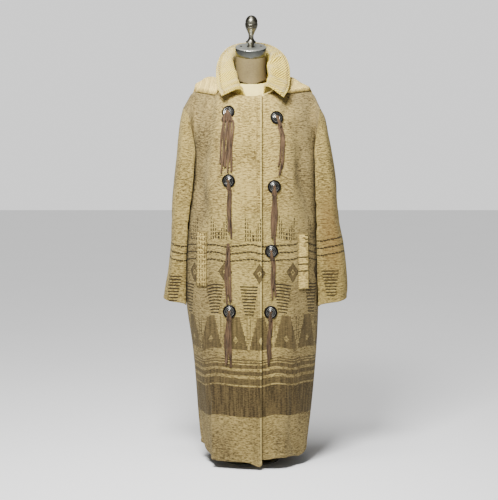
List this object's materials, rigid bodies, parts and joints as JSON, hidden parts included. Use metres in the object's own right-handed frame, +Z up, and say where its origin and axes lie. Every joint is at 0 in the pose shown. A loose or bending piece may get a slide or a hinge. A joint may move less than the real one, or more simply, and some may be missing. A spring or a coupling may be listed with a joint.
{
  "type": "long blanket wool coat on a limbless dress form",
  "caption": "Long straight wool coat with a turned-up pointed collar, a hood lying back, welt pockets, domed discs and suede tassels, standing on a limbless dress form.",
  "frame": {"origin": "on the floor, in the middle of the underside of the form's round base", "axes": "+Z up, +X towards the wearer's left side, -Y towards the front"},
  "size_m": [0.627, 0.3249, 1.5106],
  "materials": {
    "wool": "nubby woven wool",
    "collar_wool": "cream wool twill",
    "suede": "matt suede",
    "concho_metal": "dark antiqued, with rubbed rings",
    "linen": "woven linen",
    "cap_metal": "polished",
    "finial_metal": "antiqued",
    "stand_metal": "satin"
  },
  "bodies": {
    "root": {"front_right": "wool", "front_left": "wool", "back": "wool", "sleeve_right": "wool", "sleeve_left": "wool", "collar": "collar_wool", "hood": "wool", "pocket_welt_right": "wool", "pocket_welt_left": "wool", "tassel_right_1": "suede", "concho_right_1": "concho_metal", "tassel_right_2": "suede", "concho_right_2": "concho_metal", "tassel_right_3": "suede", "tassel_right_4": "suede", "concho_right_4": "concho_metal", "tassel_left_1": "suede", "concho_left_1": "concho_metal", "tassel_left_2": "suede", "concho_left_2": "concho_metal", "tassel_left_3": "suede", "concho_left_3": "concho_metal", "tassel_left_4": "suede", "concho_left_4": "concho_metal", "form_torso": "linen", "form_neck": "linen", "neck_cap": "cap_metal", "finial": "finial_metal", "pole": "stand_metal", "base": "stand_metal"}
  },
  "joints": []
}
